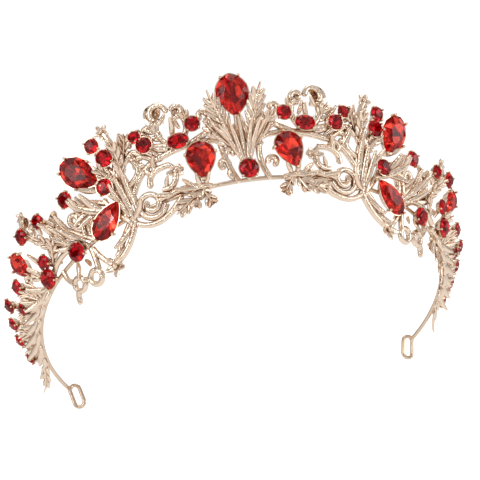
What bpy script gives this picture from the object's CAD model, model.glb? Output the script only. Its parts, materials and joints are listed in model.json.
import json
import math
import random

import bmesh
import bpy
from mathutils import Matrix, Vector

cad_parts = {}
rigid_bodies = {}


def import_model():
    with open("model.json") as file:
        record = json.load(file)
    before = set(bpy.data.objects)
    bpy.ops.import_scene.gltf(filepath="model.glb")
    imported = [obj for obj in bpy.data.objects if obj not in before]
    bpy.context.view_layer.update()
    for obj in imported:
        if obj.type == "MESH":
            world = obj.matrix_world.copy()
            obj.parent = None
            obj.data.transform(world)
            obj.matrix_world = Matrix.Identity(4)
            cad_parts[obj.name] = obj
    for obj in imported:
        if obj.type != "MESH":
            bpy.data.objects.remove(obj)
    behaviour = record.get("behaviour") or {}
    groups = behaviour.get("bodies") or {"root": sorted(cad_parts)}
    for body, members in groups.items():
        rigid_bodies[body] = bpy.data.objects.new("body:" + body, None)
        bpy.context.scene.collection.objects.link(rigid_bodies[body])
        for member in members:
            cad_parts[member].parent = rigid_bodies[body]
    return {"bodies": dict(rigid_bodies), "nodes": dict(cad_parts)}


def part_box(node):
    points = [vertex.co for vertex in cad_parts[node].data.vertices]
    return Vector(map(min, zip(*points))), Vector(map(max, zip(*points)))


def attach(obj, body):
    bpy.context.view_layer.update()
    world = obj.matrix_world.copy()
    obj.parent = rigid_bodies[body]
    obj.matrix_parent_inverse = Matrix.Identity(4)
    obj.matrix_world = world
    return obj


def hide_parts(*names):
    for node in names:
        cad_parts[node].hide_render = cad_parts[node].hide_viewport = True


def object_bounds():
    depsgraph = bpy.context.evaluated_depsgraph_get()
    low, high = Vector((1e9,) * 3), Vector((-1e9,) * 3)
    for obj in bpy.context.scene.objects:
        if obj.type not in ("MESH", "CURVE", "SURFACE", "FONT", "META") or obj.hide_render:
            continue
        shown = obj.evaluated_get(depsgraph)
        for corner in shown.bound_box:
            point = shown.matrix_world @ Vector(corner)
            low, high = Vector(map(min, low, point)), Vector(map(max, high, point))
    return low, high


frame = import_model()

cadLow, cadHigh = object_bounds()
body = list(frame["bodies"])[0]
print("frame loaded, body", body)

# The band is drawn flat in millimetres, front towards -Y, and tilted afterwards.
# Its half ellipse is read back from the head band's own box.
band = {"wire": 1.4, "tilt": 45.0, "flare": 31.0}
bandLow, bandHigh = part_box("head_band")
halfWidth = (bandHigh.x - bandLow.x) * 500 - band["wire"] / 2
halfDepth = (bandHigh.z * 1000 - band["wire"] / 2) / math.sin(math.radians(band["tilt"]))
toWorn = Matrix.Rotation(-math.radians(band["tilt"]), 4, "X") @ Matrix.Scale(0.001, 4)


def wallFrame(angle, height=0.0, standOff=0.0, heading=0.0, lift=0.0):
    # x runs along the heading, z faces out of the flared wall that the ornaments stand on
    turn, flare = math.radians(angle), math.radians(band["flare"])
    foot = Vector((halfWidth * math.sin(turn), -halfDepth * math.cos(turn), 0))
    outward = Vector((math.sin(turn) / halfWidth, -math.cos(turn) / halfDepth, 0)).normalized()
    along = Vector((halfWidth * math.cos(turn), halfDepth * math.sin(turn), 0)).normalized()
    up = outward * math.sin(flare) + Vector((0, 0, math.cos(flare)))
    face = outward * math.cos(flare) - Vector((0, 0, math.sin(flare)))
    wall = Matrix((along, up, face)).transposed().to_4x4()
    wall.translation = foot + up * height + face * standOff
    turned = Matrix.Rotation(math.radians(heading), 4, "Z")
    return wall @ turned @ Matrix.Rotation(-math.radians(lift), 4, "Y")


def wallPoint(place):
    return wallFrame(*place).translation


view = {
    "azimuth": 8.43, "elevation": 1.88, "roll": 7.34, "lens": 98.76, "distance": 0.4541,
    "target": (0.0014, 0.0006, 0.0252),
}


def addCamera():
    data = bpy.data.cameras.new("camera")
    data.lens = view["lens"]
    data.sensor_width = 36.0
    camera = bpy.data.objects.new("camera", data)
    turn, rise = math.radians(view["azimuth"]), math.radians(view["elevation"])
    ahead = Vector((math.sin(turn) * math.cos(rise), math.cos(turn) * math.cos(rise), -math.sin(rise)))
    camera.location = Vector(view["target"]) - ahead * view["distance"]
    level = ahead.to_track_quat("-Z", "Y").to_matrix().to_4x4()
    camera.matrix_world = (
        Matrix.Translation(camera.location) @ level @ Matrix.Rotation(-math.radians(view["roll"]), 4, "Z")
    )
    data.clip_start = 0.01
    data.clip_end = 50.0
    bpy.context.scene.collection.objects.link(camera)
    bpy.context.scene.camera = camera


studio = {
    "floorDrop": 0.22, "floorSize": 60.0, "floorColor": (0.93, 0.93, 0.93, 1), "floorRoughness": 0.9,
    "floorGlow": 0.12, "floorGlowSeen": 0.85, "backdrop": 1.05,
    "bandSlope": 0.4, "waveScale": 6.0, "waveDetail": 2.0, "waveHeight": 1.5, "waveShift": -0.22,
}


def addFloor():
    mesh = bpy.data.meshes.new("floor")
    half = studio["floorSize"] / 2
    level = cadLow.z - studio["floorDrop"]
    corners = [(-half, -half, level), (half, -half, level), (half, half, level), (-half, half, level)]
    mesh.from_pydata(corners, [], [(0, 1, 2, 3)])
    floor = bpy.data.objects.new("floor", mesh)
    bpy.context.scene.collection.objects.link(floor)
    material = bpy.data.materials.new("paleFloor")
    material.use_nodes = True
    shader = material.node_tree.nodes["Principled BSDF"]
    shader.inputs["Base Color"].default_value = studio["floorColor"]
    shader.inputs["Roughness"].default_value = studio["floorRoughness"]
    shader.inputs["Emission Color"].default_value = (1, 1, 1, 1)
    seen = material.node_tree.nodes.new("ShaderNodeLightPath")
    glow = material.node_tree.nodes.new("ShaderNodeMapRange")
    glow.inputs["To Min"].default_value = studio["floorGlow"]
    glow.inputs["To Max"].default_value = studio["floorGlowSeen"]
    material.node_tree.links.new(seen.outputs["Is Camera Ray"], glow.inputs["Value"])
    material.node_tree.links.new(glow.outputs["Result"], shader.inputs["Emission Strength"])
    mesh.materials.append(material)


# name, place, size, power
lamps = (
    ("keyLight", (-0.55, -0.75, 0.75), 0.40, 1.8),
    ("fillLight", (0.75, -0.55, 0.25), 0.30, 0.7),
    ("topLight", (0.05, 0.15, 0.95), 0.5, 1.2),
    ("rimLight", (0.35, 0.85, 0.45), 0.35, 0.9),
    ("sparkLight", (-0.12, -0.95, 0.05), 0.05, 0.20),
    ("leftLight", (-0.90, -0.52, 0.26), 0.34, 1.1),
    ("rightLight", (0.98, -0.20, 0.20), 0.34, 1.0),
)
# position and level of each band of light that the metal reflects, from below to above
reflections = (
    (0.0, 0.40), (0.24, 0.30), (0.37, 0.02), (0.50, 0.035), (0.61, 0.36), (0.78, 1.05), (1.0, 0.18),
)


def addLights():
    for name, place, size, power in lamps:
        data = bpy.data.lights.new(name, "AREA")
        data.size = size
        data.energy = power
        lamp = bpy.data.objects.new(name, data)
        lamp.location = place
        lamp.rotation_euler = (-Vector(place)).to_track_quat("-Z", "Y").to_euler()
        bpy.context.scene.collection.objects.link(lamp)
    world = bpy.data.worlds.new("studio")
    bpy.context.scene.world = world
    world.use_nodes = True
    nodes, links = world.node_tree.nodes, world.node_tree.links
    nodes.clear()
    # what the camera sees is plain white; what the metal reflects has dark and light bands
    output = nodes.new("ShaderNodeOutputWorld")
    mix = nodes.new("ShaderNodeMixShader")
    path = nodes.new("ShaderNodeLightPath")
    plain = nodes.new("ShaderNodeBackground")
    plain.inputs["Color"].default_value = (1, 1, 1, 1)
    plain.inputs["Strength"].default_value = studio["backdrop"]
    banded = nodes.new("ShaderNodeBackground")
    banded.inputs["Strength"].default_value = 1.0
    coords = nodes.new("ShaderNodeTexCoord")
    split = nodes.new("ShaderNodeSeparateXYZ")
    waves = nodes.new("ShaderNodeTexNoise")
    waves.inputs["Scale"].default_value = studio["waveScale"]
    waves.inputs["Detail"].default_value = studio["waveDetail"]
    total = nodes.new("ShaderNodeMath")
    total.operation = "MULTIPLY_ADD"
    total.inputs[1].default_value = studio["bandSlope"]
    ramp = nodes.new("ShaderNodeValToRGB")
    while len(ramp.color_ramp.elements) < len(reflections):
        ramp.color_ramp.elements.new(0.5)
    for element, (position, level) in zip(ramp.color_ramp.elements, reflections):
        element.position = position
        warm = min(1.0, 0.5 + level)
        element.color = (level, level * (0.3 + 0.7 * warm), level * warm, 1)
    shift = nodes.new("ShaderNodeMath")
    shift.operation = "MULTIPLY_ADD"
    shift.inputs[1].default_value = studio["waveHeight"]
    shift.inputs[2].default_value = studio["waveShift"]
    links.new(coords.outputs["Generated"], split.inputs[0])
    links.new(coords.outputs["Generated"], waves.inputs["Vector"])
    links.new(split.outputs["Z"], total.inputs[0])
    links.new(waves.outputs["Fac"], shift.inputs[0])
    links.new(shift.outputs[0], total.inputs[2])
    links.new(total.outputs[0], ramp.inputs["Fac"])
    links.new(ramp.outputs["Color"], banded.inputs["Color"])
    links.new(path.outputs["Is Camera Ray"], mix.inputs["Fac"])
    links.new(banded.outputs[0], mix.inputs[1])
    links.new(plain.outputs[0], mix.inputs[2])
    links.new(mix.outputs[0], output.inputs["Surface"])
    bpy.context.scene.view_settings.view_transform = "Standard"


def addSocket(tree, name, kind, way, value=None):
    socket = tree.interface.new_socket(name=name, in_out=way, socket_type=kind)
    if value is not None:
        socket.default_value = value
    return socket


agedShape = {
    "hollowFrom": 0.40, "hollowTo": 0.52, "creviceReach": 0.0016, "creviceFrom": 0.15, "creviceTo": 0.85,
    "cloudScale": 160.0, "dirtRoughness": 0.28, "cloudRoughness": 0.10, "grainReach": 0.00016,
}
rubyShape = {"roughness": 0.0, "transmission": 0.88}


def makeAgedMetal():
    # plating: polished on the high spots, darker and duller in the hollows, with a fine cast grain
    tree = bpy.data.node_groups.new("agedMetal", "ShaderNodeTree")
    addSocket(tree, "High Color", "NodeSocketColor", "INPUT", (1, 1, 1, 1))
    addSocket(tree, "Hollow Color", "NodeSocketColor", "INPUT", (0.3, 0.2, 0.1, 1))
    addSocket(tree, "Hollow Depth", "NodeSocketFloat", "INPUT", 0.5)
    addSocket(tree, "Polish", "NodeSocketFloat", "INPUT", 0.15)
    addSocket(tree, "Grain Scale", "NodeSocketFloat", "INPUT", 900.0)
    addSocket(tree, "Color", "NodeSocketColor", "OUTPUT")
    addSocket(tree, "Roughness", "NodeSocketFloat", "OUTPUT")
    addSocket(tree, "Height", "NodeSocketFloat", "OUTPUT")
    nodes, links = tree.nodes, tree.links
    given = nodes.new("NodeGroupInput")
    result = nodes.new("NodeGroupOutput")
    coords = nodes.new("ShaderNodeTexCoord")
    geometry = nodes.new("ShaderNodeNewGeometry")
    hollow = nodes.new("ShaderNodeMapRange")
    hollow.inputs["From Min"].default_value = agedShape["hollowFrom"]
    hollow.inputs["From Max"].default_value = agedShape["hollowTo"]
    hollow.inputs["To Min"].default_value = 1.0
    hollow.inputs["To Max"].default_value = 0.0
    crevice = nodes.new("ShaderNodeAmbientOcclusion")
    crevice.samples = 8
    crevice.inputs["Distance"].default_value = agedShape["creviceReach"]
    shade = nodes.new("ShaderNodeMapRange")
    shade.inputs["From Min"].default_value = agedShape["creviceFrom"]
    shade.inputs["From Max"].default_value = agedShape["creviceTo"]
    shade.inputs["To Min"].default_value = 1.0
    shade.inputs["To Max"].default_value = 0.0
    deepest = nodes.new("ShaderNodeMath")
    deepest.operation = "MAXIMUM"
    cloud = nodes.new("ShaderNodeTexNoise")
    cloud.inputs["Scale"].default_value = agedShape["cloudScale"]
    cloud.inputs["Detail"].default_value = 4.0
    grain = nodes.new("ShaderNodeTexNoise")
    grain.inputs["Detail"].default_value = 3.0
    dirt = nodes.new("ShaderNodeMath")
    dirt.operation = "MULTIPLY"
    patchy = nodes.new("ShaderNodeMath")
    patchy.operation = "MULTIPLY"
    tone = nodes.new("ShaderNodeMix")
    tone.data_type = "RGBA"
    rough = nodes.new("ShaderNodeMath")
    rough.operation = "MULTIPLY_ADD"
    rough.inputs[1].default_value = agedShape["dirtRoughness"]
    smear = nodes.new("ShaderNodeMath")
    smear.operation = "MULTIPLY_ADD"
    smear.inputs[1].default_value = agedShape["cloudRoughness"]
    links.new(coords.outputs["Object"], cloud.inputs["Vector"])
    links.new(coords.outputs["Object"], grain.inputs["Vector"])
    links.new(given.outputs["Grain Scale"], grain.inputs["Scale"])
    links.new(geometry.outputs["Pointiness"], hollow.inputs["Value"])
    links.new(crevice.outputs["AO"], shade.inputs["Value"])
    links.new(hollow.outputs["Result"], deepest.inputs[0])
    links.new(shade.outputs["Result"], deepest.inputs[1])
    links.new(deepest.outputs[0], dirt.inputs[0])
    links.new(given.outputs["Hollow Depth"], dirt.inputs[1])
    links.new(dirt.outputs[0], patchy.inputs[0])
    links.new(cloud.outputs["Fac"], patchy.inputs[1])
    links.new(patchy.outputs[0], tone.inputs["Factor"])
    links.new(given.outputs["High Color"], tone.inputs["A"])
    links.new(given.outputs["Hollow Color"], tone.inputs["B"])
    links.new(patchy.outputs[0], rough.inputs[0])
    links.new(given.outputs["Polish"], rough.inputs[2])
    links.new(cloud.outputs["Fac"], smear.inputs[0])
    links.new(rough.outputs[0], smear.inputs[2])
    links.new(tone.outputs["Result"], result.inputs["Color"])
    links.new(smear.outputs[0], result.inputs["Roughness"])
    links.new(grain.outputs["Fac"], result.inputs["Height"])
    return tree


def makeGold(name, tree, high, hollow, depth, polish, grainScale, grainHeight):
    material = bpy.data.materials.new(name)
    material.use_nodes = True
    nodes, links = material.node_tree.nodes, material.node_tree.links
    shader = nodes["Principled BSDF"]
    shader.inputs["Metallic"].default_value = 1.0
    metal = nodes.new("ShaderNodeGroup")
    metal.node_tree = tree
    metal.inputs["High Color"].default_value = (*high, 1)
    metal.inputs["Hollow Color"].default_value = (*hollow, 1)
    metal.inputs["Hollow Depth"].default_value = depth
    metal.inputs["Polish"].default_value = polish
    metal.inputs["Grain Scale"].default_value = grainScale
    bump = nodes.new("ShaderNodeBump")
    bump.inputs["Strength"].default_value = grainHeight
    bump.inputs["Distance"].default_value = agedShape["grainReach"]
    links.new(metal.outputs["Color"], shader.inputs["Base Color"])
    links.new(metal.outputs["Roughness"], shader.inputs["Roughness"])
    links.new(metal.outputs["Height"], bump.inputs["Height"])
    links.new(bump.outputs["Normal"], shader.inputs["Normal"])
    return material


def makeFacetTone():
    # every facet of a cut stone is broken into patches, each with a tone of its own; a few of them flash
    tree = bpy.data.node_groups.new("facetTone", "ShaderNodeTree")
    addSocket(tree, "Deep Color", "NodeSocketColor", "INPUT", (0.4, 0, 0, 1))
    addSocket(tree, "Bright Color", "NodeSocketColor", "INPUT", (1, 0.1, 0.05, 1))
    addSocket(tree, "Steps", "NodeSocketFloat", "INPUT", 7.0)
    addSocket(tree, "Patch Scale", "NodeSocketFloat", "INPUT", 300.0)
    addSocket(tree, "Contrast", "NodeSocketFloat", "INPUT", 1.6)
    addSocket(tree, "Flash Contrast", "NodeSocketFloat", "INPUT", 5.0)
    addSocket(tree, "Color", "NodeSocketColor", "OUTPUT")
    addSocket(tree, "Flash", "NodeSocketColor", "OUTPUT")
    nodes, links = tree.nodes, tree.links
    given, result = nodes.new("NodeGroupInput"), nodes.new("NodeGroupOutput")
    geometry = nodes.new("ShaderNodeNewGeometry")
    coords = nodes.new("ShaderNodeTexCoord")
    patches = nodes.new("ShaderNodeTexVoronoi")
    spread = nodes.new("ShaderNodeVectorMath")
    spread.operation = "SCALE"
    whole = nodes.new("ShaderNodeVectorMath")
    whole.operation = "FLOOR"
    joined = nodes.new("ShaderNodeVectorMath")
    joined.operation = "ADD"
    pick = nodes.new("ShaderNodeTexWhiteNoise")
    bend = nodes.new("ShaderNodeMath")
    bend.operation = "POWER"
    glint = nodes.new("ShaderNodeMath")
    glint.operation = "POWER"
    tone = nodes.new("ShaderNodeMix")
    tone.data_type = "RGBA"
    flash = nodes.new("ShaderNodeMix")
    flash.data_type = "RGBA"
    flash.inputs["A"].default_value = (0, 0, 0, 1)
    links.new(geometry.outputs["True Normal"], spread.inputs[0])
    links.new(given.outputs["Steps"], spread.inputs["Scale"])
    links.new(spread.outputs["Vector"], whole.inputs[0])
    links.new(coords.outputs["Object"], patches.inputs["Vector"])
    links.new(given.outputs["Patch Scale"], patches.inputs["Scale"])
    links.new(whole.outputs["Vector"], joined.inputs[0])
    links.new(patches.outputs["Color"], joined.inputs[1])
    links.new(joined.outputs["Vector"], pick.inputs["Vector"])
    links.new(pick.outputs["Value"], bend.inputs[0])
    links.new(given.outputs["Contrast"], bend.inputs[1])
    links.new(pick.outputs["Value"], glint.inputs[0])
    links.new(given.outputs["Flash Contrast"], glint.inputs[1])
    links.new(bend.outputs[0], tone.inputs["Factor"])
    links.new(given.outputs["Deep Color"], tone.inputs["A"])
    links.new(given.outputs["Bright Color"], tone.inputs["B"])
    links.new(glint.outputs[0], flash.inputs["Factor"])
    links.new(given.outputs["Bright Color"], flash.inputs["B"])
    links.new(tone.outputs["Result"], result.inputs["Color"])
    links.new(flash.outputs["Result"], result.inputs["Flash"])
    return tree


def makeRuby(name, tree, deep, bright, contrast, ior, glow):
    material = bpy.data.materials.new(name)
    material.use_nodes = True
    nodes, links = material.node_tree.nodes, material.node_tree.links
    shader = nodes["Principled BSDF"]
    shader.inputs["Roughness"].default_value = rubyShape["roughness"]
    shader.inputs["IOR"].default_value = ior
    shader.inputs["Transmission Weight"].default_value = rubyShape["transmission"]
    shader.inputs["Emission Strength"].default_value = glow
    facets = nodes.new("ShaderNodeGroup")
    facets.node_tree = tree
    facets.inputs["Deep Color"].default_value = (*deep, 1)
    facets.inputs["Bright Color"].default_value = (*bright, 1)
    facets.inputs["Contrast"].default_value = contrast
    links.new(facets.outputs["Color"], shader.inputs["Base Color"])
    links.new(facets.outputs["Flash"], shader.inputs["Emission Color"])
    return material


agedMetal = makeAgedMetal()
castGold = makeGold("castGold", agedMetal, (0.91, 0.745, 0.595), (0.36, 0.16, 0.07), 2.0, 0.06, 1100, 0.9)
wireGold = makeGold("wireGold", agedMetal, (0.76, 0.60, 0.46), (0.34, 0.19, 0.11), 0.9, 0.12, 900, 0.35)
cupGold = makeGold("cupGold", agedMetal, (0.86, 0.67, 0.50), (0.36, 0.17, 0.08), 1.2, 0.09, 1500, 0.15)
facetTone = makeFacetTone()
brightRuby = makeRuby("brightRuby", facetTone, (0.36, 0.0, 0.002), (1.0, 0.085, 0.045), 2.3, 1.34, 0.62)
deepRuby = makeRuby("deepRuby", facetTone, (0.30, 0.0, 0.003), (0.95, 0.02, 0.03), 2.2, 1.34, 0.42)
print("materials made")


def makeWireTree():
    # a round wire of uneven thickness along every spline, with knots of metal cast on to it
    tree = bpy.data.node_groups.new("castWire", "GeometryNodeTree")
    addSocket(tree, "Geometry", "NodeSocketGeometry", "INPUT")
    addSocket(tree, "Sides", "NodeSocketInt", "INPUT", 10)
    addSocket(tree, "Spacing", "NodeSocketFloat", "INPUT", 0.45)
    addSocket(tree, "Unevenness", "NodeSocketFloat", "INPUT", 0.3)
    addSocket(tree, "Knotted", "NodeSocketBool", "INPUT", True)
    addSocket(tree, "Knot Spacing", "NodeSocketFloat", "INPUT", 1.5)
    addSocket(tree, "Knot Size", "NodeSocketFloat", "INPUT", 1.3)
    addSocket(tree, "Seed", "NodeSocketInt", "INPUT", 1)
    addSocket(tree, "Finish", "NodeSocketMaterial", "INPUT")
    addSocket(tree, "Geometry", "NodeSocketGeometry", "OUTPUT")
    nodes, links = tree.nodes, tree.links
    given, result = nodes.new("NodeGroupInput"), nodes.new("NodeGroupOutput")
    even = nodes.new("GeometryNodeResampleCurve")
    even.mode = "LENGTH"
    radius = nodes.new("GeometryNodeInputRadius")
    lumps = nodes.new("ShaderNodeTexNoise")
    lumps.inputs["Scale"].default_value = 0.7
    swell = nodes.new("ShaderNodeMath")
    swell.operation = "SUBTRACT"
    swell.inputs[1].default_value = 0.5
    share = nodes.new("ShaderNodeMath")
    share.operation = "MULTIPLY_ADD"
    share.inputs[2].default_value = 1.0
    thickness = nodes.new("ShaderNodeMath")
    thickness.operation = "MULTIPLY"
    uneven = nodes.new("GeometryNodeSetCurveRadius")
    section = nodes.new("GeometryNodeCurvePrimitiveCircle")
    section.inputs["Radius"].default_value = 1.0
    skin = nodes.new("GeometryNodeCurveToMesh")
    skin.inputs["Fill Caps"].default_value = True
    dots = nodes.new("GeometryNodeCurveToPoints")
    dots.mode = "LENGTH"
    ball = nodes.new("GeometryNodeMeshIcoSphere")
    ball.inputs["Radius"].default_value = 1.0
    ball.inputs["Subdivisions"].default_value = 2
    pick = nodes.new("FunctionNodeRandomValue")
    pick.inputs[2].default_value = 0.7
    pick.inputs[3].default_value = 1.25
    sized = nodes.new("ShaderNodeMath")
    sized.operation = "MULTIPLY"
    scaled = nodes.new("ShaderNodeMath")
    scaled.operation = "MULTIPLY"
    place = nodes.new("GeometryNodeInstanceOnPoints")
    choose = nodes.new("GeometryNodeSwitch")
    choose.input_type = "GEOMETRY"
    both = nodes.new("GeometryNodeJoinGeometry")
    real = nodes.new("GeometryNodeRealizeInstances")
    paint = nodes.new("GeometryNodeSetMaterial")
    links.new(given.outputs["Geometry"], even.inputs["Curve"])
    links.new(given.outputs["Spacing"], even.inputs["Length"])
    links.new(lumps.outputs["Fac"], swell.inputs[0])
    links.new(swell.outputs[0], share.inputs[0])
    links.new(given.outputs["Unevenness"], share.inputs[1])
    links.new(share.outputs[0], thickness.inputs[0])
    links.new(radius.outputs["Radius"], thickness.inputs[1])
    links.new(even.outputs["Curve"], uneven.inputs["Curve"])
    links.new(thickness.outputs[0], uneven.inputs["Radius"])
    links.new(given.outputs["Sides"], section.inputs["Resolution"])
    links.new(uneven.outputs["Curve"], skin.inputs["Curve"])
    links.new(section.outputs["Curve"], skin.inputs["Profile Curve"])
    links.new(given.outputs["Geometry"], dots.inputs["Curve"])
    links.new(given.outputs["Knot Spacing"], dots.inputs["Length"])
    links.new(given.outputs["Seed"], pick.inputs["Seed"])
    links.new(pick.outputs[1], sized.inputs[0])
    links.new(given.outputs["Knot Size"], sized.inputs[1])
    links.new(sized.outputs[0], scaled.inputs[0])
    links.new(radius.outputs["Radius"], scaled.inputs[1])
    links.new(dots.outputs["Points"], place.inputs["Points"])
    links.new(ball.outputs["Mesh"], place.inputs["Instance"])
    links.new(scaled.outputs[0], place.inputs["Scale"])
    links.new(given.outputs["Knotted"], choose.inputs["Switch"])
    links.new(place.outputs["Instances"], choose.inputs["True"])
    links.new(skin.outputs["Mesh"], both.inputs["Geometry"])
    links.new(choose.outputs[0], both.inputs["Geometry"])
    links.new(both.outputs["Geometry"], real.inputs["Geometry"])
    links.new(real.outputs["Geometry"], paint.inputs["Geometry"])
    links.new(given.outputs["Finish"], paint.inputs["Material"])
    links.new(paint.outputs["Geometry"], result.inputs["Geometry"])
    return tree


wireTree = makeWireTree()
wireShape = {"Sides": 10, "Spacing": 0.45, "Unevenness": 0.9, "Knot Spacing": 1.7, "Knot Size": 1.45}


def socketId(tree, name):
    return next(item.identifier for item in tree.interface.items_tree
                if item.name == name and item.in_out == "INPUT")


def wireMesh(wires, finish, knotted, seed):
    # wires: lists of (point in mm, radius in mm); the result is a plain mesh in mm
    curve = bpy.data.curves.new("wires", "CURVE")
    curve.dimensions = "3D"
    for points in wires:
        spline = curve.splines.new("NURBS")
        spline.points.add(len(points) - 1)
        for slotPoint, (place, radius) in zip(spline.points, points):
            slotPoint.co = (*place, 1)
            slotPoint.radius = radius
        spline.order_u = min(4, len(points))
        spline.use_endpoint_u = True
        spline.resolution_u = 8
    holder = bpy.data.objects.new("wires", curve)
    bpy.context.scene.collection.objects.link(holder)
    modifier = holder.modifiers.new("castWire", "NODES")
    modifier.node_group = wireTree
    for name, value in wireShape.items():
        modifier[socketId(wireTree, name)] = value
    modifier[socketId(wireTree, "Knotted")] = knotted
    modifier[socketId(wireTree, "Seed")] = seed
    modifier[socketId(wireTree, "Finish")] = finish
    bpy.context.view_layer.update()
    graph = bpy.context.evaluated_depsgraph_get()
    mesh = bpy.data.meshes.new_from_object(holder.evaluated_get(graph))
    bpy.data.objects.remove(holder)
    bpy.data.curves.remove(curve)
    return mesh


def addShell(bm, grid, thickness):
    # closes a grid of (point, normal) into a thin solid
    top = [[bm.verts.new(point) for point, _ in row] for row in grid]
    under = [[bm.verts.new(point - normal * thickness) for point, normal in row] for row in grid]
    rows, columns = len(grid), len(grid[0])
    for i in range(rows - 1):
        for j in range(columns - 1):
            bm.faces.new((top[i][j], top[i + 1][j], top[i + 1][j + 1], top[i][j + 1]))
            bm.faces.new((under[i][j], under[i][j + 1], under[i + 1][j + 1], under[i + 1][j]))
    for i in range(rows - 1):
        bm.faces.new((top[i][0], under[i][0], under[i + 1][0], top[i + 1][0]))
        bm.faces.new((top[i][-1], top[i + 1][-1], under[i + 1][-1], under[i][-1]))
    for j in range(columns - 1):
        bm.faces.new((top[0][j], top[0][j + 1], under[0][j + 1], under[0][j]))
        bm.faces.new((top[-1][j], under[-1][j], under[-1][j + 1], top[-1][j + 1]))


leafShape = {"angle": 33.0, "fat": 0.92, "ridge": 0.55, "groove": 0.16, "cup": 0.04, "thickness": 0.40}


def addBarb(bm, place, length, width, ridge, spine=None, root=(0.0, 0.0), turn=0.0):
    # one plump finger of a leaf, raised along its middle with a fine groove on top, laid on a curved spine
    cosine, sine = math.cos(math.radians(turn)), math.sin(math.radians(turn))
    grid = []
    for i in range(8):
        share = i / 7
        half = width / 2 * math.sin(math.pi * (0.10 + 0.83 * share)) ** 0.65
        row = []
        for j in range(7):
            across = j / 3 - 1
            x, y = length * share, half * across * (1 - 0.15 * share)
            flat = Vector((root[0] + x * cosine - y * sine, root[1] + x * sine + y * cosine, 0))
            height = ridge * (1 - across ** 2) * math.sin(math.pi * (0.12 + 0.76 * share))
            height -= leafShape["groove"] * math.exp(-((across / 0.28) ** 2)) * min(1.0, half)
            base, normal = spine(flat) if spine else (flat, Vector((0, 0, 1)))
            row.append((place @ (base + normal * height), (place.to_3x3() @ normal).normalized()))
        grid.append(row)
    addShell(bm, grid, leafShape["thickness"])


def addLeaf(bm, place, length, width, lobes, bend=20.0, curl=45.0):
    # a middle rib with fingers on both sides that point forwards, bent up along its length
    samples = [(0.0, 0.0, 0.0)]
    steps = 40
    for i in range(1, steps + 9):
        share = i / steps
        slope = math.radians(bend) * share + math.radians(curl) * max(0.0, (share - 0.55) / 0.45) ** 2
        x, z, _ = samples[-1]
        samples.append((x + length / steps * math.cos(slope), z + length / steps * math.sin(slope), slope))

    def spine(flat):
        index = max(0, min(len(samples) - 1, round(flat.x / length * steps)))
        x, z, slope = samples[index]
        rest = flat.x - index * length / steps
        along = Vector((math.cos(slope), 0, math.sin(slope)))
        normal = Vector((-math.sin(slope), 0, math.cos(slope)))
        rise = leafShape["cup"] * flat.y ** 2
        return Vector((x, flat.y, z)) + along * rest + normal * rise, normal

    addBarb(bm, place, length, max(0.9, width * 0.24), leafShape["ridge"] * 1.5, spine)
    gap = length * 0.74 / lobes
    for lobe in range(lobes):
        start = length * (0.10 + 0.74 * lobe / lobes)
        share = (lobe + 0.6) / (lobes + 0.4)
        reach = width / 2 * math.sin(math.pi * min(1.0, 0.16 + 0.74 * share)) ** 0.8
        angle = leafShape["angle"] * (1.15 - 0.5 * share)
        for side in (-1, 1):
            addBarb(
                bm, place, max(1.2, reach / math.sin(math.radians(angle))), gap * leafShape["fat"] * 0.8,
                leafShape["ridge"], spine, (start, 0), side * angle
            )


def addBlade(bm, place, length, width, sweep, rise):
    # a plump tapered strand that bends sideways and lifts towards its tip
    def spine(flat):
        share = flat.x / length
        turn = math.radians(sweep) * share
        middle = Vector((length * share * math.cos(turn * 0.5), length * share * math.sin(turn * 0.5), 0))
        middle.z = length * 0.5 * math.radians(rise) * share ** 2
        slope = math.radians(rise) * share
        back = -math.sin(slope)
        normal = Vector((back * math.cos(turn), back * math.sin(turn), math.cos(slope)))
        return middle + Vector((-math.sin(turn), math.cos(turn), 0)) * flat.y, normal

    addBarb(bm, place, length, width, leafShape["ridge"] * 1.25, spine)


def addBowl(bm, place, radius, depth):
    # a shallow cupped leaf, hollow side up
    grid = []
    for i in range(6):
        share = 0.04 + 0.96 * i / 5
        row = []
        for j in range(17):
            turn = 2 * math.pi * j / 16
            point = Vector((radius * share * math.cos(turn), radius * share * math.sin(turn), 0))
            point.z = depth * (share ** 2 - 1)
            row.append((place @ point, (place.to_3x3() @ Vector((0, 0, 1))).normalized()))
        grid.append(row)
    addShell(bm, grid, 0.35)


def addBall(bm, place, radius, squashed=1.0):
    shape = place @ Matrix.Diagonal((1, 1, squashed, 1))
    bmesh.ops.create_icosphere(bm, subdivisions=2, radius=radius, matrix=shape)


def addFlower(bm, place, size, petals=5):
    for turn in range(petals):
        stand = place @ Matrix.Rotation(2 * math.pi * turn / petals, 4, "Z") @ Matrix.Rotation(-0.35, 4, "Y")
        addBarb(bm, stand @ Matrix.Translation((size * 0.05, 0, 0)), size * 0.5, size * 0.36, 0.3)
    addBall(bm, place @ Matrix.Translation((0, 0, size * 0.12)), size * 0.14)


def ringPoints(frameMatrix, radius, start, sweep, wireRadius, steps=14, shrink=0.0):
    points = []
    for index in range(steps + 1):
        share = index / steps
        turn = math.radians(start + sweep * share)
        size = radius * (1 - shrink * share)
        place = frameMatrix @ Vector((size * math.cos(turn), size * math.sin(turn), 0))
        points.append((place, wireRadius * (1 - 0.35 * share)))
    return points


def stemPoints(places, radius, taper=0.35):
    # a smooth wire through places on the wall; a bow of three places passes through the middle one
    spots = [wallPoint(place) for place in places]
    if len(spots) == 3:
        middle = spots[1] * 2 - (spots[0] + spots[2]) / 2
        spots = [spots[0], spots[0].lerp(middle, 0.66), spots[2].lerp(middle, 0.66), spots[2]]
    count = len(spots) - 1
    return [(spot, radius * (1 - taper * index / count)) for index, spot in enumerate(spots)]


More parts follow.
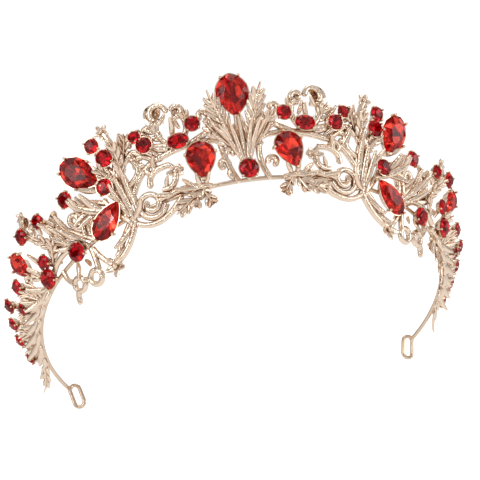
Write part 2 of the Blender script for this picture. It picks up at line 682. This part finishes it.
castShape = {
    "endBall": 0.36, "curlWire": 0.52, "curlBall": 0.8, "spiralWire": 0.55, "spiralBall": 0.85,
    "spiralShrink": 0.72, "ringWire": 0.42, "bowlDepth": 0.34, "sharpEdge": 50,
}


def buildCasting(name, parts, side, nodes, seed=1):
    dice = random.Random(seed)
    bm = bmesh.new()
    knotted, plain = [], []

    def every(kind):
        return parts.get(kind, ()) + parts.get(side, {}).get(kind, ())

    for places, thickness in every("stems"):
        knotted.append(stemPoints(places, thickness / 2))
        addBall(bm, wallFrame(*places[0]), thickness / 2)
        addBall(bm, wallFrame(*places[-1]), thickness * castShape["endBall"])
    for angle, height, standOff, radius, start, sweep in every("curls"):
        points = ringPoints(wallFrame(angle, height, standOff), radius, start, sweep, castShape["curlWire"])
        plain.append(points)
        addBall(bm, Matrix.Translation(points[-1][0]), castShape["curlBall"])
    for angle, height, standOff, radius, heading, turns in every("spirals"):
        stand = wallFrame(angle, height, standOff, heading)
        wire, shrink = castShape["spiralWire"], castShape["spiralShrink"]
        points = ringPoints(stand, radius, 0, 360 * turns, wire, int(14 * turns), shrink)
        plain.append(points)
        addBall(bm, Matrix.Translation(points[-1][0]), castShape["spiralBall"])
    lean = parts.get("lean", {}).get(side, 0)
    for angle, height, standOff, length, width, heading, lift, sweep in every("blades"):
        place = wallFrame(angle, height, standOff, heading + lean, lift + dice.uniform(-2, 6))
        addBlade(bm, place, length, width, sweep, dice.uniform(10, 40))
    for angle, height, standOff, length, width, heading, lift, lobes in every("leaves"):
        place = wallFrame(angle, height, standOff, heading + lean, lift + dice.uniform(-3, 5))
        roll = Matrix.Rotation(math.radians(dice.uniform(-14, 14)), 4, "X")
        addLeaf(bm, place @ roll, length, width, lobes, dice.uniform(8, 26), dice.uniform(20, 60))
    for angle, height, standOff, size in every("flowers"):
        addFlower(bm, wallFrame(angle, height, standOff), size)
    for angle, height, standOff, size, beads in every("rings"):
        stand = wallFrame(angle, height, standOff)
        plain.append(ringPoints(stand, size / 2, 0, 358, castShape["ringWire"], 20))
        for turn in range(beads):
            spot = stand @ Matrix.Rotation(2 * math.pi * turn / beads, 4, "Z") @ Vector((size / 2, 0, 0))
            addBall(bm, Matrix.Translation(spot), dice.uniform(0.75, 1.0))
    for angle, height, standOff, radius in every("balls"):
        addBall(bm, wallFrame(angle, height, standOff), radius)
    for angle, height, standOff, radius, heading, lift in every("bowls"):
        place = wallFrame(angle, height, standOff, heading, lift)
        addBowl(bm, place, radius, radius * castShape["bowlDepth"])
    for wires, lumpy in ((knotted, True), (plain, False)):
        if wires:
            piece = wireMesh(wires, castGold, lumpy, seed)
            bm.from_mesh(piece)
            bpy.data.meshes.remove(piece)
    mesh = bpy.data.meshes.new(name)
    bmesh.ops.remove_doubles(bm, verts=bm.verts, dist=0.01)
    flip = Matrix.Diagonal((-1, 1, 1, 1)) if side == "left" else Matrix.Identity(4)
    bmesh.ops.transform(bm, matrix=toWorn @ flip, verts=bm.verts)
    bmesh.ops.recalc_face_normals(bm, faces=bm.faces)
    bm.to_mesh(mesh)
    bm.free()
    mesh.polygons.foreach_set("use_smooth", [True] * len(mesh.polygons))
    mesh.set_sharp_from_angle(angle=math.radians(castShape["sharpEdge"]))
    mesh.materials.clear()
    mesh.materials.append(castGold)
    casting = bpy.data.objects.new(name, mesh)
    bpy.context.scene.collection.objects.link(casting)
    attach(casting, body)
    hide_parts(*nodes)


# Places are (angle round the band, height up the wall, stand-off). Stems: places, thickness.
# Curls: place, radius, start, sweep. Leaves: place, length, width, heading, lift, lobes.
# Blades: place, length, width, heading, lift, sideways sweep. Bowls: place, radius, heading, lift.
# Spirals: place, radius, heading, turns. Rings: place, size, beads. Flowers: place, size.
# Balls: place, radius. Lean turns one side's leaves and blades by so many degrees.
centreStem = {
    "stems": (
        (((0, 0.6, 0.4), (-0.7, 8, 0.6), (-0.6, 21, 0.9)), 1.2),
        (((-2.8, 0, 0.2), (-4.8, 7, 0.5), (-5.4, 13.5, 0.6)), 1.0),
        (((5.4, 0, 0.2), (3.4, 7, 0.5), (4.2, 14, 0.6)), 1.0),
        (((-4.0, 4.0, 0.3), (-4.6, 2.6, 0.5), (-3.8, 1.4, 0.5)), 0.9),
    ),
    "curls": (
        (-5.4, 6.0, 0.5, 1.3, -20, 260),
        (6.4, 5.2, 0.5, 1.4, 200, -260),
        (-3.6, 9.2, 0.6, 1.0, 200, -230),
    ),
    "blades": (
        (-0.2, 5, 1.0, 14.5, 1.9, 90, 2, 6),
        (0.4, 5, 1.2, 14, 1.8, 84, 3, -10),
        (-0.8, 5, 1.2, 14, 1.8, 97, 3, 12),
        (1.2, 9, 1.2, 9.5, 1.6, 70, 5, -14),
        (-1.6, 9, 1.2, 9.5, 1.6, 110, 5, 14),
    ),
}
crestLeaf = {
    "lean": {"left": -6, "right": 3},
    "leaves": (
        (1.2, 8.5, 0.9, 22.5, 6.2, 74, 4, 6),
        (1.8, 9, 0.6, 15, 4.6, 52, 6, 4),
    ),
    "blades": (
        (1.0, 6, 1.2, 13, 1.9, 74, 4, -12),
        (1.6, 10, 1.5, 10, 1.8, 60, 8, -16),
        (3.4, 13, 1.2, 8.5, 1.8, 44, 8, 30),
        (3.0, 12, 1.0, 7.0, 1.7, 22, 8, 34),
        (0.9, 13, 1.3, 8.5, 1.6, 92, 4, 10),
    ),
}
crestBranch = {
    "stems": (
        (((3.2, 13.4, 0.6), (11.5, 14.6, 0.6), (20, 13.4, 0.5)), 1.4),
        (((20, 13.4, 0.5), (24.5, 11.5, 0.5), (29, 6, 0.5)), 1.5),
        (((5.4, 18.6, 0.6), (9, 16.6, 0.6), (12.4, 14.8, 0.6)), 1.2),
        (((13, 14.8, 0.6), (18.5, 16.6, 0.6), (22.5, 18.4, 0.6)), 1.2),
        (((15.6, 15.6, 0.6), (18.6, 19.6, 0.6), (18.4, 24.4, 0.6)), 1.1),
        (((14.4, 16.0, 0.6), (12.2, 20, 0.6), (12.6, 24.6, 0.6)), 1.0),
        (((5.4, 13.8, 0.6), (5.4, 17.5, 0.8), (7.8, 21.4, 0.8)), 1.0),
        (((17.6, 15.4, 0.6), (20.6, 17.0, 0.8), (20.6, 20.6, 0.8)), 0.9),
        (((21.4, 13.2, 0.6), (23.6, 16.0, 0.7), (25.4, 17.6, 0.7)), 1.1),
    ),
    "curls": (
        (17.4, 27.2, 0.6, 2.7, -110, 290),
        (13.4, 26.2, 0.6, 1.7, -70, -250),
        (20.8, 22.6, 0.6, 1.3, -90, 250),
        (8.0, 22.8, 0.6, 1.3, -60, 240),
        (24.6, 14.6, 0.6, 1.4, -120, 250),
    ),
    "bowls": ((18.6, 27.8, 1.2, 3.0, 60, -18), (13.4, 26.0, 1.0, 1.7, 120, -16)),
    "leaves": (
        (18.4, 18.2, 0.7, 7.5, 3.4, 66, 8, 2),
        (11.2, 19.8, 0.5, 6.5, 3.2, 78, 4, 2),
    ),
    "blades": (
        (16.0, 18.0, 0.9, 6.5, 1.9, 118, 10, -24),
        (19.8, 14.0, 0.7, 6.5, 1.9, 34, 8, 30),
        (9.4, 15.6, 0.8, 6.0, 1.8, 150, 8, -24),
        (6.8, 16.4, 0.8, 6.0, 1.8, 128, 6, -20),
        (25.0, 11.0, 0.8, 6.5, 2.0, 64, 8, 20),
        (13.6, 20.4, 0.9, 4.6, 1.6, 60, 10, 30),
        (18.6, 23.6, 0.9, 4.6, 1.7, 168, 10, -40),
        (20.4, 20.4, 0.8, 4.8, 1.6, 30, 8, 40),
    ),
}
bandScroll = {
    "spirals": ((25.8, 0.6, 0.8, 5.0, 200, 1.55),),
    "stems": (
        (((11, 0.6, 0.7), (17, 1.5, 0.9), (24.0, 0.6, 0.9)), 1.3),
        (((18, -1.0, 0.7), (25, -5.6, 0.8), (31, -3.2, 0.8)), 1.2),
        (((24.4, 6.0, 0.5), (22.6, 9.6, 0.8), (18.2, 10.2, 0.8)), 0.9),
        (((21.6, 3.4, 0.5), (18.8, 3.8, 0.8), (17.4, 7.0, 0.8)), 0.9),
        (((15.6, 7.4, 0.7), (16.6, 8.4, 0.8), (17.4, 7.4, 0.8)), 0.8),
    ),
    "flowers": ((17.4, 7.6, 0.8, 5.4),),
    "blades": (
        (21.6, 9.8, 0.9, 4.6, 1.9, 60, 10, 70),
        (23.0, 8.4, 0.8, 4.2, 1.6, 130, 8, -40),
        (20.6, 3.6, 0.8, 3.6, 1.5, 100, 8, 30),
        (12.6, 0.4, 1.1, 7.5, 1.9, 8, 4, -10),
        (18.6, 1.0, 1.2, 6.5, 1.8, 4, 4, 10),
    ),
    "curls": ((22.8, 11.0, 0.6, 1.5, -60, 240),),
}
hangingLeaf = {
    "stems": ((((9.5, 0, 0.6), (12.5, 0.6, 0.8), (15.5, 0, 0.6)), 1.2),),
    "left": {
        "leaves": (
            (12.2, 0.4, 1.0, 8.4, 4.2, -109, 2, 3),
            (12.8, -0.6, 1.0, 11.0, 4.8, -31, 2, 3),
            (13.0, -0.4, 1.2, 7.0, 3.4, -64, 2, 2),
        ),
    },
    "right": {
        "leaves": (
            (11.4, 0.6, 1.0, 9.4, 4.2, -121, 2, 3),
            (12.4, -0.8, 1.0, 11.4, 4.8, -25, 2, 3),
            (12.6, -0.4, 1.2, 6.4, 3.4, -66, 2, 2),
        ),
    },
    "blades": (
        (11.0, 0.9, 1.2, 4.0, 1.8, 112, 14, 20),
        (12.4, 0.9, 1.4, 4.2, 1.8, 84, 14, 0),
        (14.0, 0.9, 1.2, 4.4, 1.8, 56, 12, -20),
        (15.0, 0.4, 1.0, 5.0, 1.8, 14, 6, 10),
    ),
    "balls": ((12.4, 0.8, 1.2, 0.9),),
}
mainSpray = {
    "stems": (
        (((31.5, -2.4, 0.5), (31.0, 9, 0.7), (28.0, 23, 0.8)), 1.6),
        (((32.6, -2.4, 0.5), (33.0, 7, 0.8), (30.2, 18, 0.8)), 1.5),
        (((29.8, -1.0, 0.4), (29.4, 6, 0.6), (29.9, 13, 0.6)), 1.2),
        (((33.0, -1, 0.5), (35.4, 4, 0.8), (36.6, 9, 0.8)), 1.3),
        (((30.6, 13, 0.7), (32.6, 18, 0.8), (33.2, 24, 0.8)), 1.2),
        (((36.8, 8, 0.8), (41, 11.5, 0.8), (46, 15.4, 0.8)), 1.3),
        (((28.6, 18, 0.5), (29.4, 24, 0.7), (30.2, 28, 0.8)), 1.0),
        (((29.4, 9, 0.7), (26.2, 11.4, 0.8), (25.6, 15.4, 0.8)), 1.0),
        (((30.2, 15, 0.7), (27.4, 17, 0.8), (25.4, 18.4, 0.8)), 1.0),
    ),
    "leaves": (
        (29.8, 12, 1.0, 13, 4.4, 98, 6, 4),
        (31.6, 11, 1.0, 10, 4.0, 62, 8, 3),
        (28.2, 17.5, 0.9, 8.5, 3.6, 122, 6, 3),
    ),
    "blades": (
        (31.2, 0, 1.3, 13, 2.3, 86, 5, 10),
        (32.2, 0, 1.4, 12, 2.1, 78, 5, 14),
        (30.2, 3, 1.2, 12, 2.0, 94, 5, 8),
        (30.6, 8, 1.5, 9.5, 1.9, 106, 8, -14),
        (32.6, 5, 1.3, 9.0, 1.9, 58, 8, 18),
        (31.4, 9, 1.6, 8.0, 1.8, 76, 10, -14),
        (29.0, 20.5, 1.0, 5.5, 1.9, 68, 10, 16),
        (28.4, 21.5, 1.0, 4.8, 1.8, 134, 10, -20),
        (31.8, -1.4, 1.1, 7.5, 2.0, 158, 8, -24),
        (26.6, 13.0, 0.9, 5.0, 1.8, 120, 8, -30),
    ),
    "flowers": ((30.4, 28.8, 0.6, 4.8),),
    "curls": (
        (26.8, 20.6, 0.6, 1.5, -70, 250),
        (25.6, 17.0, 0.6, 1.4, -80, 250),
    ),
}
sideAcanthus = {
    "stems": (
        (((35.0, 3.6, 0.9), (38.4, 6.4, 1.2), (44.6, 12.0, 1.2)), 1.5),
        (((36.5, 4.8, 0.9), (41.4, 7.4, 1.2), (44.0, 2.6, 1.0)), 1.0),
        (((42.6, 9.8, 0.9), (44.4, 7.4, 1.0), (45.8, 3.2, 0.9)), 1.1),
    ),
    "blades": (
        (35.4, 4.4, 1.7, 12, 2.6, 16, 8, 34),
        (37.6, 5.8, 1.9, 9.0, 2.4, 46, 12, 36),
        (39.6, 7.2, 1.9, 8.0, 2.4, 44, 14, 42),
        (41.6, 8.8, 1.9, 7.0, 2.2, 50, 14, 36),
        (43.4, 10.4, 1.8, 5.4, 2.0, 58, 14, 30),
        (38.6, 6.4, 1.3, 8.5, 2.0, 8, 5, -34),
        (41.4, 8.6, 1.3, 6.5, 1.9, 2, 6, -36),
        (36.6, 12.8, 1.4, 6.0, 2.6, 20, 12, 14),
        (43.8, 8.0, 1.2, 5.0, 1.9, 70, 10, 30),
        (45.2, 5.2, 1.1, 5.0, 1.8, 40, 8, 30),
    ),
    "curls": ((46.6, 9.6, 0.8, 1.6, 200, -240),),
}
hangingFlower = {
    "stems": (
        (((31.5, -2, 0.5), (36.0, -8.0, 0.8), (42.0, -10.5, 0.8)), 1.3),
        (((33.0, -1.6, 0.5), (37.2, -5.8, 0.8), (40.6, -9.6, 0.8)), 1.1),
        (((46.0, -1.6, 0.5), (44.8, -6.0, 0.8), (42.9, -10.0, 0.8)), 1.0),
    ),
    "flowers": ((42.2, -11.0, 0.8, 7.0),),
    "blades": ((33.4, -3.0, 1.0, 8.0, 2.2, -40, 6, 12), (37.0, -7.4, 1.0, 5.0, 1.8, -20, 6, -10)),
}
templeSpray = {
    "stems": (
        (((44, 0, 0.5), (49, 7.5, 0.7), (54.6, 16.8, 0.7)), 1.2),
        (((47, 0, 0.5), (56, 8.5, 0.7), (61.6, 18.2, 0.7)), 1.3),
        (((47, 0.6, 0.7), (54, 3.6, 0.9), (62, 2.0, 0.9)), 1.3),
        (((61.6, 18.6, 0.7), (61.0, 21, 0.9), (59.5, 24, 0.9)), 0.9),
        (((50, 6, 0.7), (51.5, 10, 1.2), (50.4, 13.2, 1.4)), 1.0),
        (((57, 3.0, 0.7), (59.6, 4.4, 0.9), (60.6, 6.4, 0.9)), 1.0),
    ),
    "leaves": (
        (60.6, 3.0, 1.0, 12, 4.0, 146, 6, 4),
        (58.4, 12, 0.9, 8, 3.4, 66, 6, 2),
        (56.0, 5.0, 1.2, 9, 3.8, 78, 10, 3),
    ),
    "blades": (
        (46.6, 1.6, 1.1, 10, 2.2, 48, 6, 24),
        (48.0, 1.6, 1.0, 9, 2.0, 34, 6, 24),
        (49.6, 7.4, 1.2, 7, 2.2, 84, 12, 24),
        (52.0, 5.4, 1.4, 8, 2.2, 104, 12, -30),
        (54.6, 9.6, 1.2, 7, 2.0, 112, 10, -30),
        (57.4, 14.0, 1.0, 6, 1.9, 120, 8, -30),
        (62.4, 5.0, 1.0, 8, 2.1, 76, 6, 20),
        (64.0, 3.0, 1.0, 8, 2.1, 56, 6, 30),
        (50.6, 3.2, 1.0, 7, 1.9, 10, 5, 30),
    ),
    "curls": ((53.4, 10.6, 1.0, 1.7, -60, 260), (58.0, 17.6, 0.9, 1.5, 210, -250)),
    "bowls": ((51.6, 14.8, 1.4, 2.9, 70, -30), (59.2, 21.6, 1.0, 1.8, 80, -20)),
    "flowers": ((59.4, 24, 0.8, 3.8),),
}
beadRings = {
    "rings": ((49.6, -9.8, 1.0, 4.6, 7), (55.8, -7.6, 1.0, 4.4, 7)),
    "stems": (
        (((46.5, -1.5, 0.6), (46.8, -5, 0.9), (47.6, -8.4, 1.0)), 1.0),
        (((51.6, -10, 1.0), (52.8, -8.2, 1.0), (53.8, -8.2, 1.0)), 0.9),
        (((58.5, 0, 0.5), (58.6, -3, 0.8), (57.4, -5.8, 1.0)), 1.0),
        (((57.4, -8.8, 1.0), (58.6, -9.8, 1.0), (59.6, -11.2, 1.0)), 0.8),
    ),
    "balls": ((59.8, -11.6, 1.0, 0.9),),
    "blades": ((52.6, -1.6, 0.9, 5.5, 2.0, -80, 8, 20), (50.0, -3.0, 0.9, 4.6, 1.8, -130, 8, 20)),
}
armSpray = {
    "stems": (
        (((63, 0.8, 0.5), (73, 1.2, 0.6), (83, 1.2, 0.6)), 1.5),
        (((83, 1.2, 0.6), (93, 1.0, 0.6), (103, 0.4, 0.5)), 1.3),
    ) + tuple(
        (((foot, 1.0, 0.6), ((foot + angle) / 2 + 1.5, height * 0.45, 1.2), (angle, height, 0.9)), 1.2)
        for foot, angle, height in (
            (66, 74.5, 11.5), (72, 79.5, 7.0), (75, 83.5, 14.0),
            (82, 89.5, 12.0), (88, 95, 10.0), (95, 101.5, 7.5),
        )
    ),
    "leaves": tuple((65 + 7.5 * step, 1.5, 0.9, 10 - step, 4.0, 70, 8, 3) for step in range(5))
    + ((97.5, 0.8, 0.8, 15, 3.6, -7, 4, 4),),
    "blades": tuple((66 + 5.2 * step, 1.8, 1.0, 7.5 - 0.4 * step, 2.0, 108, 8, -26) for step in range(7))
    + tuple((68 + 5.2 * step, 2.4, 1.2, 6.5 - 0.3 * step, 1.9, 30, 12, 36) for step in range(7))
    + tuple((67 + 6.0 * step, 0.6, 0.9, 5.0 - 0.2 * step, 1.7, -34, 6, 20) for step in range(6))
    + tuple((70 + 5.0 * step, 0.9, 0.8, 9.0, 2.3, 12, 4, 4) for step in range(7)),
    "curls": tuple((70.5 + 7.6 * step, 9.5 - 0.6 * step, 0.8, 1.4, -60, 250) for step in range(4)),
    "right": {
        "leaves": (
            (66.0, 0.4, 0.6, 7.0, 3.8, -96, -6, 2),
            (71.5, 0.4, 0.6, 7.4, 3.8, -112, -6, 2),
            (77.0, 0.4, 0.6, 7.0, 3.6, -104, -6, 2),
            (82.5, 0.4, 0.6, 6.6, 3.6, -98, -6, 2),
            (88.0, 0.4, 0.6, 5.6, 3.2, -104, -6, 2),
        ),
        "blades": (
            (69.0, 0.2, 0.5, 6.0, 2.0, -76, -8, 20),
            (74.0, 0.2, 0.5, 5.6, 2.0, -84, -8, -20),
            (80.0, 0.2, 0.5, 5.6, 2.0, -80, -8, 20),
            (85.5, 0.2, 0.5, 5.0, 1.9, -86, -8, -20),
            (92.0, 0.2, 0.5, 3.8, 1.8, -100, -8, 20),
            (97.0, 0.2, 0.5, 3.0, 1.6, -70, -8, 20),
        ),
    },
}

pairs = {
    "crest_leaf": crestLeaf,
    "crest_branch": crestBranch,
    "band_scroll": bandScroll,
    "hanging_leaf": hangingLeaf,
    "main_spray": mainSpray,
    "side_acanthus": sideAcanthus,
    "hanging_flower": hangingFlower,
    "temple_spray": templeSpray,
    "bead_rings": beadRings,
    "arm_spray": armSpray,
}


def finishCadNodes():
    # stones, cups, band and eyes keep their own shapes and take their finishes here
    for name, node in frame["nodes"].items():
        if node.hide_render:
            continue
        if name == "head_band" or name.startswith("end_eye"):
            finish = wireGold
        elif "setting" in name or "cup" in name:
            finish = cupGold
        elif "_stones_" in name or name == "centre_round_stone":
            finish = deepRuby
        else:
            finish = brightRuby
        node.data.materials.clear()
        node.data.materials.append(finish)


addCamera()
addFloor()
addLights()
buildCasting("centreStem", centreStem, "right", ["centre_stem"], seed=11)
for index, (name, parts) in enumerate(pairs.items()):
    for side in ("left", "right"):
        words = name.split("_")
        title = words[0] + "".join(word.capitalize() for word in words[1:]) + side.capitalize()
        buildCasting(title, parts, side, [name + "_" + side], seed=20 + index * 2 + (side == "left"))
print("castings built")
finishCadNodes()
print("finishes set")
